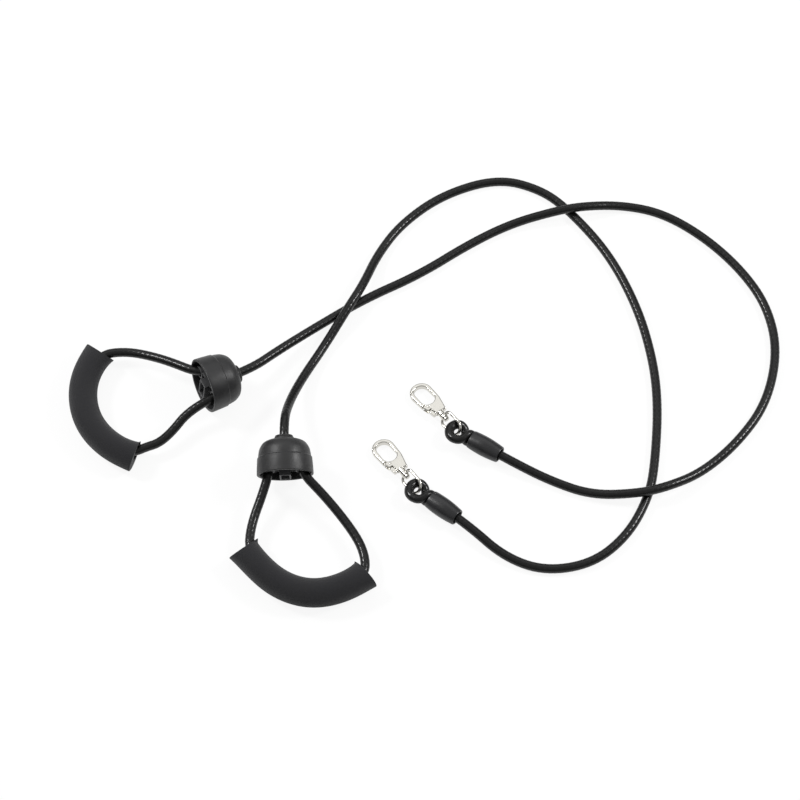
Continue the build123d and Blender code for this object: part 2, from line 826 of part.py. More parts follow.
def make_gate_spring(band):
    """Small coil round the pin, inside the gate's root, that keeps the gate shut."""
    hook = hook_plane(band)
    height = spring_wire * spring_turns * spring_rise
    base = Plane(
        origin=hook.from_local_coords(Vector(gate_pivot_x, gate_pivot_y, -height / 2)),
        x_dir=hook.x_dir,
        z_dir=hook.z_dir,
    )
    pitch = height / spring_turns
    with BuildPart() as spring:
        with BuildLine(base) as coil:
            Helix(pitch=pitch, height=height, radius=spring_radius)
        with BuildSketch(Plane(origin=coil.edges()[0] @ 0, z_dir=coil.edges()[0] % 0)):
            Circle(spring_wire / 2)
        sweep(path=coil.edges()[0], is_frenet=True)
    save(spring.part, f"{band.name}_gate_spring")


def make_band(band):
    """All the pieces of one band."""
    make_grip(band)
    make_hand_loop(band)
    make_bell(band)
    make_bush(band)
    make_core(band)
    make_loop_ferrule(band)
    make_main_cord(band)
    make_sleeve(band)
    make_eye_ferrule(band)
    make_eye_cord(band)
    make_swivel_eye(band)
    make_swivel_rivet(band)
    make_hook_body(band)
    make_gate(band)
    make_gate_pin(band)
    make_gate_spring(band)


def print_frames(band):
    """The axes and points that joints and mounts use, in millimetres."""
    bell = bell_plane(band)
    hook = hook_plane(band)
    pivot = hook.from_local_coords(Vector(gate_pivot_x, gate_pivot_y, 0))
    seat = hook.from_local_coords(Vector(hook_bow_centre, 0, 0))
    frames = {
        "bell": (bell.origin, bell.z_dir),
        "eye tilt": (hook.origin, -hook.y_dir),
        "swivel": (hook.origin, hook.x_dir),
        "gate": (pivot, -hook.z_dir),
        "seat": (seat, hook.z_dir),
    }
    for title, (point, axis) in frames.items():
        where = tuple(round(v, 3) for v in point)
        way = tuple(round(v, 6) for v in axis)
        print(band.name, title, where, way)


os.makedirs("parts", exist_ok=True)
for each in (LEFT, RIGHT):
    make_band(each)
    print_frames(each)
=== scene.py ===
# %% [markdown]
# # A pair of resistance bands
# Each band is a foam grip on a cord loop, a bell shaped stopper, about a metre of braided
# elastic cord, a moulded sleeve, and a snap hook on a swivel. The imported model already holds
# every piece at its real size, so this lesson loads it first. The visible skin of each piece
# is then built on its joint axes and on named sizes, all in metres.

# %% Load the frame
import json
import math

import bpy
import numpy as np
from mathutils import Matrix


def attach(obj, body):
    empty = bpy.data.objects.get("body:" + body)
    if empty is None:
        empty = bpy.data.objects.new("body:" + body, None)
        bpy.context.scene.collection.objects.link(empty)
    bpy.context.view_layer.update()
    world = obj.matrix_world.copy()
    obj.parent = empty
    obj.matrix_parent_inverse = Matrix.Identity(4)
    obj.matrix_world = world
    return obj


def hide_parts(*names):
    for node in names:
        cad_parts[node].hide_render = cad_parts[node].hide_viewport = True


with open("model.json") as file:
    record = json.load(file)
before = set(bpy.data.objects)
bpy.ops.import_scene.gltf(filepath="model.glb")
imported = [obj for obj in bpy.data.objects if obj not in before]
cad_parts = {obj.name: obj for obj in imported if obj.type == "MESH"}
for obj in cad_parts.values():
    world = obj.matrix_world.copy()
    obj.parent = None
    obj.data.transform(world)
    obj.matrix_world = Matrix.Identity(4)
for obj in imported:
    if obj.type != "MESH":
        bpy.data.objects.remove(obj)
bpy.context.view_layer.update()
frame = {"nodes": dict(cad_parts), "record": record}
record = frame["record"]
joints = {joint["name"]: joint for joint in record["behaviour"]["joints"]}

# %% [markdown]
# ## Camera, floor and light
# The bands lie on a white table and are seen from above at a steep angle through a long lens,
# so the camera stands 2.6 m away at 60 degrees above the table. Two small soft lamps, a broad
# softbox behind and a pale world give the black rubber and foam soft streaks of light. The
# floor answers camera and mirror rays mostly with white of its own, so it can be white without
# more light on the object.

# %% The camera
ELEVATION = math.radians(60)
DISTANCE = 2.6
LENS = 132.95  # mm, on the usual 36 mm sensor
TARGET = np.array([0.099, 0.079, 0.0])  # the middle of the view, on the table

camera = bpy.data.objects.new("camera", bpy.data.cameras.new("camera"))
bpy.context.scene.collection.objects.link(camera)
camera.location = TARGET + DISTANCE * np.array([0, -math.cos(ELEVATION), math.sin(ELEVATION)])
camera.rotation_euler = (math.pi / 2 - ELEVATION, 0, 0)
camera.data.lens = LENS
bpy.context.scene.camera = camera
bpy.context.scene.view_settings.view_transform = "Standard"
print("camera at", [round(v, 3) for v in camera.location])


# %% Helpers for node trees
def new_material(name, **sockets):
    """A Principled material; each keyword names a socket and the value it gets."""
    made = bpy.data.materials.new(name)
    made.use_nodes = True
    shader = made.node_tree.nodes["Principled BSDF"]
    for socket, value in sockets.items():
        shader.inputs[socket.replace("_", " ")].default_value = value
    return made, made.node_tree, shader


def add_node(tree, kind, settings=None, **inputs):
    """Adds a node; a keyword links an output socket, or sets a plain value."""
    node = tree.nodes.new(kind)
    for key, value in (settings or {}).items():
        setattr(node, key, value)
    for key, value in inputs.items():
        socket = node.inputs[int(key[1:])] if key[1:].isdigit() else node.inputs[key]
        if isinstance(value, bpy.types.NodeSocket):
            tree.links.new(value, socket)
        else:
            socket.default_value = value
    return node


def ramp(tree, value, stops):
    """A colour ramp through (position, grey or colour) stops."""
    node = add_node(tree, "ShaderNodeValToRGB", Fac=value)
    elements = node.color_ramp.elements
    while len(elements) < len(stops):
        elements.new(0.5)
    for element, (position, colour) in zip(elements, stops):
        element.position = position
        rgb = colour if isinstance(colour, tuple) else (colour,) * 3
        element.color = (*rgb, 1)
    return node.outputs["Color"]


# %% World and lamps
WORLD_STRENGTH = 0.55
world = bpy.data.worlds.new("studio")
bpy.context.scene.world = world
world.use_nodes = True
sky = world.node_tree
background = sky.nodes["Background"]
background.inputs["Strength"].default_value = WORLD_STRENGTH
way = add_node(sky, "ShaderNodeTexCoord").outputs["Generated"]
height = add_node(sky, "ShaderNodeSeparateXYZ", Vector=way).outputs["Z"]
sky.links.new(ramp(sky, height, [(0.0, 0.10), (0.18, 0.16), (0.42, 0.62), (0.8, 0.95)]),
              background.inputs["Color"])


def softbox(name, place, size, power):
    """A square lamp that faces the middle of the bands."""
    light = bpy.data.lights.new(name, "AREA")
    light.size = size
    light.energy = power
    lamp = bpy.data.objects.new(name, light)
    bpy.context.scene.collection.objects.link(lamp)
    lamp.location = place
    aim = lamp.location.copy()
    aim.x, aim.y, aim.z = TARGET - np.array(place)
    lamp.rotation_euler = aim.to_track_quat("-Z", "Y").to_euler()


softbox("left lamp", (-1.3, 0.6, 1.5), 0.4, 22)
softbox("right lamp", (1.5, 0.3, 1.3), 0.4, 18)
softbox("far softbox", (0.1, 1.8, 1.9), 2.0, 9)


# %% The floor
def floor_material():
    """Pale floor: plain white to camera and mirror rays, with a share of its own shading."""
    made, tree, shader = new_material("floor_paint", Base_Color=(0.86, 0.86, 0.86, 1),
                                      Roughness=0.9, Specular_IOR_Level=0.1)
    rays = add_node(tree, "ShaderNodeLightPath").outputs
    seen = add_node(tree, "ShaderNodeMath", {"operation": "MAXIMUM"},
                    _0=rays["Is Camera Ray"], _1=rays["Is Glossy Ray"])
    seen = add_node(tree, "ShaderNodeMath", {"operation": "MAXIMUM"},
                    _0=seen.outputs[0], _1=rays["Is Transmission Ray"])
    share = add_node(tree, "ShaderNodeMath", {"operation": "MULTIPLY"},
                     _0=seen.outputs[0], _1=0.88)
    white = add_node(tree, "ShaderNodeEmission", Color=(1, 1, 1, 1), Strength=1.02)
    mixed = add_node(tree, "ShaderNodeMixShader", Fac=share.outputs[0],
                     _1=shader.outputs[0], _2=white.outputs[0])
    tree.links.new(mixed.outputs[0], tree.nodes["Material Output"].inputs["Surface"])
    return made


FLOOR_SIZE = 12.0
half = FLOOR_SIZE / 2
floor_mesh = bpy.data.meshes.new("floor")
floor_mesh.from_pydata([(-half, -half, 0), (half, -half, 0), (half, half, 0), (-half, half, 0)],
                       [], [(0, 1, 2, 3)])
floor_mesh.materials.append(floor_material())
floor = bpy.data.objects.new("floor", floor_mesh)
bpy.context.scene.collection.objects.link(floor)

# %% [markdown]
# ## Surfaces from grids
# Every new piece is a grid of points: one parameter runs along a path or a profile and the
# other runs round it. Whole arrays are worked out at once, and one function turns a grid into
# a closed mesh that faces outwards.


# %% A closed mesh from a grid
def solid(name, grid, material, ring=False, uv=None, shade=None):
    """Closed mesh from an n by m grid of points, where the m points of a row close on each other.
    If ring is true the last row joins the first, otherwise the first and last rows get caps.
    The volume is a sixth of the sum of a . (b x c) over the triangles; where it comes out
    negative the faces point inwards, and the grid's rows are turned round."""
    n, m = grid.shape[:2]
    here = np.arange(n if ring else n - 1)
    there = (here + 1) % n
    next_column = (np.arange(m) + 1) % m
    ids = np.arange(n * m).reshape(n, m)
    quads = np.stack([ids[here], ids[there], ids[there][:, next_column],
                      ids[here][:, next_column]], axis=-1).reshape(-1, 4)
    flat = grid.reshape(-1, 3)
    a, b, c, d = (flat[quads[:, k]] - flat[0] for k in range(4))
    volume = (a * np.cross(b, c)).sum() + (a * np.cross(c, d)).sum()
    if volume < 0:
        quads = quads[:, ::-1]
    faces = quads.tolist()
    if not ring:
        ends = [ids[0].tolist(), ids[-1][::-1].tolist()]
        faces += [end if volume > 0 else end[::-1] for end in ends]
    mesh = bpy.data.meshes.new(name)
    mesh.from_pydata(flat.tolist(), [], faces)
    mesh.polygons.foreach_set("use_smooth", np.ones(len(faces), bool))
    if uv is not None:
        rows, columns = uv
        wrap = np.stack([np.stack([here, here + 1, here + 1, here], -1)[:, None].repeat(m, 1),
                         np.stack([np.arange(m), np.arange(m), np.arange(m) + 1,
                                   np.arange(m) + 1], -1)[None].repeat(len(here), 0)], -1)
        places = wrap.reshape(-1, 4, 2).astype(float) * np.array([rows, columns])
        if volume < 0:
            places = places[:, ::-1]
        coordinates = np.zeros((len(mesh.loops), 2))
        coordinates[:len(quads) * 4] = places.reshape(-1, 2)
        mesh.uv_layers.new(name="weave").data.foreach_set("uv", coordinates.ravel())
    for key, values in (shade or {}).items():
        mesh.attributes.new(key, "FLOAT", "POINT").data.foreach_set("value", values.ravel())
    mesh.materials.append(material)
    made = bpy.data.objects.new(name, mesh)
    bpy.context.scene.collection.objects.link(made)
    return made


# %% Axes of a piece
def heading(degrees):
    """Level unit vector at a heading, counted from +X towards +Y."""
    return np.array([math.cos(math.radians(degrees)), math.sin(math.radians(degrees)), 0.0])


class Axes:
    """A piece's own axes: an origin with its x, y and z directions."""

    def __init__(self, origin, z, x):
        self.origin = np.array(origin, float)
        self.z = np.array(z, float) / np.linalg.norm(z)
        self.x = np.array(x, float) - self.z * np.dot(x, self.z)
        self.x /= np.linalg.norm(self.x)
        self.y = np.cross(self.z, self.x)

    def place(self, x, y, z):
        """Points given in the piece's own axes, in the row frame."""
        x, y, z = np.broadcast_arrays(x, y, z)
        return (self.origin + x[..., None] * self.x + y[..., None] * self.y
                + z[..., None] * self.z)


print("heading 90 is", heading(90).round(3))

# %% [markdown]
# ## Where each band lies
# A band's rigid pieces hang on a few axes. The bell's axis comes from a joint of the imported
# model, and the swivel and gate keep the places of the model's own pieces. The cords' routes
# are the ones the tubes of the model follow: a short list of given points, which a smooth
# spline then uses as its control points.

# %% The two bands
CORD_DIAMETER = 0.008
EYE_CORD_DIAMETER = 0.007
LEG_OFFSET = 0.014  # from the bell's axis to each leg of the hand loop
LEG_DEPTH = 0.011
LEG_EXIT = -0.0020
MAIN_CORD_START = 0.022
NECK_EXIT = 0.046
SLEEVE_LENGTH = 0.0295
SLEEVE_RADIUS = 0.0087
MAIN_SEAT = 0.016
GRIP_ARC = 0.067
GRIP_LENGTH = 0.130
GRIP_RADIUS = 0.0125

BANDS = {
    "left": dict(
        grip_centre=(-0.1118, 0.0801), grip_middle=198.4,
        sleeve_mouth=(0.1608, 0.0348), sleeve_heading=147.4,
        hand_loop=[
            (-0.1040, 0.1070, 0.0195), (-0.1225, 0.1155, 0.0150), (-0.1370, 0.1200, 0.0127),
            (-0.1500, 0.1205, 0.0125), (-0.1610, 0.1185, 0.0125), (-0.1675, 0.1115, 0.0125),
            (-0.1740, 0.0960, 0.0125), (-0.1762, 0.0779, 0.0125), (-0.1725, 0.0593, 0.0125),
            (-0.1638, 0.0425, 0.0125), (-0.1505, 0.0290, 0.0125), (-0.1395, 0.0215, 0.0125),
            (-0.1305, 0.0200, 0.0125), (-0.1215, 0.0245, 0.0125), (-0.1100, 0.0285, 0.0128),
            (-0.0985, 0.0395, 0.0145), (-0.0870, 0.0545, 0.0185),
        ],
        main_run=[
            (-0.0080, 0.1225, 0.0130), (0.0275, 0.1525, 0.0062), (0.0670, 0.1810, 0.0040),
            (0.1165, 0.2070, 0.0040), (0.1620, 0.2400, 0.0040), (0.2005, 0.2620, 0.0040),
            (0.2385, 0.2695, 0.0125), (0.2650, 0.2755, 0.0125), (0.3025, 0.2820, 0.0040),
            (0.3390, 0.2730, 0.0040), (0.3760, 0.2465, 0.0040), (0.4070, 0.2115, 0.0040),
            (0.4275, 0.1735, 0.0040), (0.4340, 0.1270, 0.0040), (0.4210, 0.0735, 0.0040),
            (0.3930, 0.0335, 0.0040), (0.3605, 0.0040, 0.0040), (0.3290, -0.0145, 0.0125),
            (0.3030, -0.0210, 0.0125), (0.2643, -0.0180, 0.0040), (0.2293, -0.0042, 0.0040),
        ],
    ),
    "right": dict(
        grip_centre=(0.0298, -0.0493), grip_middle=256.6,
        sleeve_mouth=(0.1251, -0.0241), sleeve_heading=141.4,
        hand_loop=[
            (-0.0195, -0.0265, 0.0175), (-0.0255, -0.0430, 0.0132), (-0.0287, -0.0580, 0.0125),
            (-0.0293, -0.0725, 0.0125), (-0.0226, -0.0860, 0.0125), (-0.0096, -0.1000, 0.0125),
            (0.0069, -0.1093, 0.0125), (0.0253, -0.1134, 0.0125), (0.0442, -0.1120, 0.0125),
            (0.0600, -0.1055, 0.0125), (0.0690, -0.0965, 0.0125), (0.0697, -0.0860, 0.0125),
            (0.0665, -0.0730, 0.0125), (0.0600, -0.0600, 0.0127), (0.0480, -0.0425, 0.0140),
            (0.0325, -0.0240, 0.0178),
        ],
        main_run=[
            (0.0015, 0.0625, 0.0210), (0.0120, 0.0950, 0.0080), (0.0320, 0.1320, 0.0040),
            (0.0525, 0.1665, 0.0125), (0.0660, 0.1910, 0.0125), (0.0790, 0.2290, 0.0040),
            (0.1010, 0.2625, 0.0040), (0.1390, 0.2940, 0.0040), (0.1890, 0.3115, 0.0040),
            (0.2285, 0.2990, 0.0040), (0.2545, 0.2750, 0.0040), (0.2880, 0.2290, 0.0040),
            (0.3115, 0.1725, 0.0040), (0.3230, 0.1180, 0.0040), (0.3255, 0.0720, 0.0040),
            (0.3205, 0.0150, 0.0040), (0.3140, -0.0185, 0.0040), (0.2945, -0.0565, 0.0040),
            (0.2635, -0.0840, 0.0040), (0.2220, -0.0915, 0.0040), (0.1875, -0.0775, 0.0040),
        ],
    ),
}

for side, band in BANDS.items():
    spin = joints[f"{side}_bell_spin"]
    level = np.cross([0, 0, 1], spin["axis"])
    band["bell"] = Axes(spin["pos_m"], spin["axis"], level)
    mouth = np.array([*band["sleeve_mouth"], SLEEVE_RADIUS])
    band["sleeve"] = Axes(mouth, heading(band["sleeve_heading"] + 180),
                          heading(band["sleeve_heading"] + 90))
    print(side, "bell axis", band["bell"].z.round(3))

# %% [markdown]
# ## Braided cord
# The sheath of such a cord is braided from sixteen strands each way round. Its line is a
# smooth NURBS curve through the route; points read from that curve carry a round section. The
# strands are worked out on that tube: each is a helix with a rounded back, and where two
# cross, one rides over and the other under, in turn. The same numbers go into the mesh as an
# attribute, so the valleys between strands can be duller in the material, and darker with
# painted shade that stands in for the shadow between strands.


# %% The cord's material
def cord_material():
    """Black polyester braid: dull valleys with painted shade between strands, fine threads along
    each strand.
    """
    made, tree, shader = new_material("braided_cord", Specular_IOR_Level=0.18,
                                      Coat_Weight=0.3, Coat_Roughness=0.15)
    crown = add_node(tree, "ShaderNodeAttribute", {"attribute_name": "crown"}).outputs["Fac"]
    over = add_node(tree, "ShaderNodeAttribute", {"attribute_name": "over"}).outputs["Fac"]
    weave = add_node(tree, "ShaderNodeUVMap", {"uv_map": "weave"}).outputs["UV"]
    place = add_node(tree, "ShaderNodeSeparateXYZ", Vector=weave).outputs

    def threads(sign):
        lean = add_node(tree, "ShaderNodeMath", {"operation": "MULTIPLY"},
                        _0=place["X"], _1=sign)
        phase = add_node(tree, "ShaderNodeMath", {"operation": "ADD"},
                         _0=lean.outputs[0], _1=place["Y"])
        turn = add_node(tree, "ShaderNodeMath", {"operation": "MULTIPLY"},
                        _0=phase.outputs[0], _1=2 * math.pi * 5)
        return add_node(tree, "ShaderNodeMath", {"operation": "SINE"},
                        _0=turn.outputs[0]).outputs[0]

    lines = add_node(tree, "ShaderNodeMix", {"data_type": "FLOAT"},
                     _0=over, _2=threads(-1), _3=threads(1)).outputs[0]
    spot = add_node(tree, "ShaderNodeTexCoord").outputs["Object"]
    fuzz = add_node(tree, "ShaderNodeTexNoise", Vector=spot, Scale=900.0, Detail=3.0)
    # painted shade: the base colour is darker in the valleys between strands, where crown is low,
    # standing in for the shadow there, and lighter on the strands' crowns
    shade = ramp(tree, crown, [(0.0, 0.0015), (0.45, 0.003), (1.0, 0.006)])
    speck = ramp(tree, fuzz.outputs["Fac"], [(0.3, 0.75), (0.7, 1.25)])
    colour = add_node(tree, "ShaderNodeMix", {"data_type": "RGBA", "blend_type": "MULTIPLY"},
                      _0=1.0, _6=shade, _7=speck).outputs[2]
    tree.links.new(colour, shader.inputs["Base Color"])
    tree.links.new(ramp(tree, crown, [(0.0, 0.5), (1.0, 0.3)]), shader.inputs["Roughness"])
    relief = add_node(tree, "ShaderNodeMath", {"operation": "MULTIPLY"}, _0=lines, _1=0.5)
    bump = add_node(tree, "ShaderNodeBump", Height=relief.outputs[0], Strength=0.2,
                    Distance=0.0001)
    tree.links.new(bump.outputs["Normal"], shader.inputs["Normal"])
    return made


cord_fabric = cord_material()


# %% The cord's line
def spline_points(points):
    """Points along a smooth NURBS curve that has the route's points as control points."""
    curve = bpy.data.curves.new("route", "CURVE")
    curve.dimensions = "3D"
    curve.resolution_u = 32
    spline = curve.splines.new("NURBS")
    spline.points.add(len(points) - 1)
    for control, point in zip(spline.points, points):
        control.co = (*point, 1)
    spline.order_u = 3
    spline.use_endpoint_u = True
    holder = bpy.data.objects.new("route", curve)
    bpy.context.scene.collection.objects.link(holder)
    line_mesh = bpy.data.meshes.new_from_object(
        holder.evaluated_get(bpy.context.evaluated_depsgraph_get()))
    line = np.zeros(len(line_mesh.vertices) * 3)
    line_mesh.vertices.foreach_get("co", line)
    bpy.data.objects.remove(holder)
    bpy.data.curves.remove(curve)
    bpy.data.meshes.remove(line_mesh)
    return line.reshape(-1, 3)


def evenly(line, step):
    """The same line, with points a fixed step apart along it, and its length."""
    gaps = np.linalg.norm(np.diff(line, axis=0), axis=1)
    along = np.concatenate([[0], np.cumsum(gaps)])
    count = max(int(round(along[-1] / step)), 8) + 1
    stations = np.linspace(0, along[-1], count)
    return np.stack([np.interp(stations, along, line[:, k]) for k in range(3)], 1), along[-1]


def side_and_up(line):
    """Directions across the line at each point: the side is tangent x up, then side x tangent."""
    tangent = np.gradient(line, axis=0)
    tangent /= np.linalg.norm(tangent, axis=1)[:, None]
    side = np.cross(tangent, [0, 0, 1])
    side /= np.linalg.norm(side, axis=1)[:, None]
    return tangent, side, np.cross(side, tangent)


# %% The braid
STRANDS = 16  # each way round
BRAID_LEAD = 0.075  # length along the cord in which one strand goes once round
BRAID_RELIEF = 0.00009
BRAID_STEP = 0.0008
AROUND = 64
STRAND_POWER = 0.6  # below 1 makes a strand's back flatter
STRAND_RISE = 0.5  # how far a strand rises and dips, against its own height
CROWN_HEIGHT = 1.5  # the height at which a point is fully on a strand's crown


def braid(along, turn):
    """Height, crown and which family is on top, at a place along the cord and a turn round it.
    One family of strands runs at phase n (turn + along / lead), the other at
    n (turn - along / lead). A strand's back is sin(pi phase), and it rises and dips by
    cos(pi other phase), with opposite signs on neighbouring strands."""
    a = STRANDS * (turn + along / BRAID_LEAD)
    b = STRANDS * (turn - along / BRAID_LEAD)
    rise_a = np.cos(np.pi * b) * np.where(np.floor(a) % 2 == 0, 1, -1)
    rise_b = -np.cos(np.pi * a) * np.where(np.floor(b) % 2 == 0, 1, -1)
    high_a = np.abs(np.sin(np.pi * a)) ** STRAND_POWER + STRAND_RISE * rise_a
    high_b = np.abs(np.sin(np.pi * b)) ** STRAND_POWER + STRAND_RISE * rise_b
    height = np.maximum(high_a, high_b)
    crown = np.clip(height / CROWN_HEIGHT, 0, 1)
    return height - height.mean(), crown, (high_a > high_b) * 1.0


def braided_tube(name, points, diameter, swell=0.0):
    """A braided cord along a route: a mesh tube, its line, and its length. A slack cord swells
    between its ends by a share of its radius."""
    line, length = evenly(spline_points(points), BRAID_STEP)
    tangent, side, up = side_and_up(line)
    turn = np.arange(AROUND) / AROUND
    along = np.linspace(0, length, len(line))
    height, crown, over = braid(along[:, None], turn[None])
    slack = 1 + swell * np.sin(np.pi * along / length) ** 2
    radius = (diameter / 2 * slack[:, None] + BRAID_RELIEF * height)[..., None]
    angle = 2 * np.pi * turn[None, :, None]
    grid = line[:, None] + radius * (np.cos(angle) * side[:, None] + np.sin(angle) * up[:, None])
    made = solid(name, grid, cord_fabric, uv=(STRANDS * BRAID_STEP / BRAID_LEAD,
                                             STRANDS / AROUND),
                 shade={"crown": crown, "over": over})
    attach(made, "root")
    print(name, "length", round(length * 1000, 1), "mm, lowest", round(line[:, 2].min(), 4))
    return made, line, length


# %% The hand loops and the main cords
SLEEVE_LEAD = 0.0125  # how far behind the sleeve the cord is already in line with it

for side, band in BANDS.items():
    bell, sleeve = band["bell"], band["sleeve"]
    legs = [[bell.place(x, 0, LEG_DEPTH), bell.place(x, 0, -LEG_EXIT)]
            for x in (LEG_OFFSET, -LEG_OFFSET)]
    route = [*legs[0], *band["hand_loop"], *reversed(legs[1])]
    loop, line, length = braided_tube(f"{side}_hand_loop", route, CORD_DIAMETER)
    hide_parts(f"{side}_loop_cord")
    band["loop_line"] = line

    route = [bell.place(0, 0, MAIN_CORD_START), bell.place(0, 0, NECK_EXIT), *band["main_run"],
             sleeve.place(0, 0, SLEEVE_LENGTH + SLEEVE_LEAD), sleeve.place(0, 0, MAIN_SEAT)]
    main, line, length = braided_tube(f"{side}_elastic_cord", route, CORD_DIAMETER)
    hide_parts(f"{side}_main_cord")

# %% [markdown]
# ## Materials for the rigid and moulded pieces
# Each finish is worked out from noise on object coordinates, so it sits at its real scale in
# metres. Foam is dull with closed pores, moulded rubber is satin with faint flow marks, and
# nickel plate is a smooth mirror with hairline scratches over a slightly uneven casting.


# %% Finishes
def mottled(tree, shader, base, spread, scale, rough, stretch=(1, 1, 1)):
    """Colour and roughness that drift a little from place to place."""
    spot = add_node(tree, "ShaderNodeTexCoord").outputs["Object"]
    spot = add_node(tree, "ShaderNodeMapping", Vector=spot, Scale=stretch).outputs["Vector"]
    drift = add_node(tree, "ShaderNodeTexNoise", Vector=spot, Scale=scale, Detail=4.0)
    drift = drift.outputs["Fac"]
    low, high = (tuple(v * k for v in base) for k in (1 - spread, 1 + spread))
    tree.links.new(ramp(tree, drift, [(0.3, low), (0.7, high)]), shader.inputs["Base Color"])
    tree.links.new(ramp(tree, drift, [(0.3, rough[0]), (0.7, rough[1])]),
                   shader.inputs["Roughness"])
    return spot


def bumpy(tree, shader, *layers):
    """Adds bump layers one on another: each is a height socket and its depth in metres."""
    normal = None
    for height_socket, depth in layers:
        bump = add_node(tree, "ShaderNodeBump", Height=height_socket, Strength=1.0,
                        Distance=depth)
        if normal is not None:
            tree.links.new(normal, bump.inputs["Normal"])
        normal = bump.outputs["Normal"]
    tree.links.new(normal, shader.inputs["Normal"])


def foam_material():
    """Closed-cell foam: small round pores and a soft skin."""
    made, tree, shader = new_material("grip_foam", Specular_IOR_Level=0.25, Sheen_Weight=0.15,
                                      Sheen_Roughness=0.6)
    spot = mottled(tree, shader, (0.0115, 0.0115, 0.0135), 0.12, 60.0, (0.82, 0.95))
    pores = add_node(tree, "ShaderNodeTexVoronoi", {"feature": "F1"}, Vector=spot, Scale=1500.0)
    skin = add_node(tree, "ShaderNodeTexNoise", Vector=spot, Scale=350.0, Detail=4.0)
    bumpy(tree, shader, (pores.outputs["Distance"], 0.00012), (skin.outputs["Fac"], 0.0002))
    return made


def rubber_material(name, base, rough, marks):
    """Satin moulded rubber, with fine grain and broad flow marks from the mould."""
    made, tree, shader = new_material(name, Specular_IOR_Level=0.5)
    spot = mottled(tree, shader, base, 0.1, 90.0, rough)
    grain = add_node(tree, "ShaderNodeTexNoise", Vector=spot, Scale=2600.0, Detail=2.0)
    flow = add_node(tree, "ShaderNodeTexNoise", Vector=spot, Scale=110.0, Detail=3.0)
    bumpy(tree, shader, (flow.outputs["Fac"], marks), (grain.outputs["Fac"], 0.00004))
    return made


def metal_material(name, base, rough, scratch, uneven):
    """Plated or drawn metal: hairline scratches over a slightly uneven surface."""
    made, tree, shader = new_material(name, Metallic=1.0)
    spot = mottled(tree, shader, base, 0.04, 240.0, rough)
    long_way = add_node(tree, "ShaderNodeMapping", Vector=spot,
                        Rotation=(0.3, 0.2, math.radians(38)), Scale=(1, 14, 14))
    lines = add_node(tree, "ShaderNodeTexNoise", Vector=long_way.outputs["Vector"],
                     Scale=420.0, Detail=3.0)
    wave = add_node(tree, "ShaderNodeTexNoise", Vector=spot, Scale=260.0, Detail=1.0)
    bumpy(tree, shader, (wave.outputs["Fac"], uneven), (lines.outputs["Fac"], scratch))
    return made


foam = foam_material()
bell_rubber = rubber_material("bell_rubber", (0.0150, 0.0150, 0.0158), (0.40, 0.54), 0.0003)
sleeve_rubber = rubber_material("sleeve_rubber", (0.013, 0.013, 0.0142), (0.3, 0.42), 0.00025)
core_nylon = rubber_material("core_nylon", (0.05, 0.05, 0.052), (0.45, 0.6), 0.0001)
nickel = metal_material("nickel_plate", (0.66, 0.645, 0.60), (0.1, 0.22), 0.00002, 0.00012)
plain_metal = metal_material("ferrule_aluminium", (0.6, 0.6, 0.6), (0.3, 0.45), 0.00004, 0.0001)
spring_wire = metal_material("spring_steel", (0.45, 0.45, 0.46), (0.25, 0.4), 0.00003, 0.00005)
print("finishes:", [m.name for m in bpy.data.materials])

# %% [markdown]
# ## Profiles with rounded corners
# Moulded pieces have no sharp edges. A profile is written as a few corners, each with the
# length of its rounding, and every corner becomes a short curve.


# %% Rounded profiles
def rounded(corners, steps=7):
    """Profile through corners (across, along, round): each is cut back by its round along both
    sides, to a and b, and bridged by (1-s)^2 a + 2s(1-s) corner + s^2 b."""
    table = np.array(corners, float)
    place, cut = table[:, :2], table[:, 2:]
    before, after = np.roll(place, 1, 0) - place, np.roll(place, -1, 0) - place
    before /= np.linalg.norm(before, axis=1)[:, None]
    after /= np.linalg.norm(after, axis=1)[:, None]
    s = np.linspace(0, 1, steps)[None, :, None]
    start, end = (place + cut * before)[:, None], (place + cut * after)[:, None]
    return ((1 - s) ** 2 * start + 2 * s * (1 - s) * place[:, None] + s ** 2 * end).reshape(-1, 2)


def turned(name, axes, profile, material, columns=144):
    """A closed profile of (radius, height) pairs, turned once about an axis."""
    angle = 2 * np.pi * np.arange(columns) / columns
    radius, along = profile[:, :1], profile[:, 1:]
    grid = axes.place(radius * np.cos(angle), radius * np.sin(angle), along + 0 * angle)
    return solid(name, grid, material, ring=True)


# %% [markdown]
# ## Foam grips
# The grip is a straight foam tube that the cord inside bends. The left one keeps nearly to one
# arc, while the right one is tighter at the middle, and each of its ends has a turn of its own.
# The bore follows the cord's own line and opens towards both mouths, which leaves room for the
# grip to creep. The outside follows the bent middle line, and flares and flattens a little at
# its cut ends.

# %% Shape the foam
GRIP_END_ROUND = 0.0009
BORE_RADIUS = 0.0050
BORE_FLARE = 0.0034
GRIP_FLARE = 0.0014
GRIP_FLAT = 0.0006
GRIP_COLUMNS = 72
GRIP_WAVE = 0.008  # how uneven the hand-pressed foam is, as a share of its radius
WAVE_ALONG = 95
WAVE_TWIST = 60
NEARNESS = 0.02  # how much distance counts against squareness in finding the cord's point
# how far the top of each end is cut back towards the middle, first end and last end
GRIP_CUTS = {"left": (0.0050, -0.0015), "right": (0.0050, 0.0015)}
# how much shorter the last end is than half the cut length
GRIP_TRIMS = {"left": 0.0, "right": 0.0045}
# the largest turn from the middle to the first and last end, in radians, and the radius of
# the middle's bend
GRIP_BENDS = {"left": (3.0, 3.0, 0.067), "right": (0.74, 1.30, 0.052)}


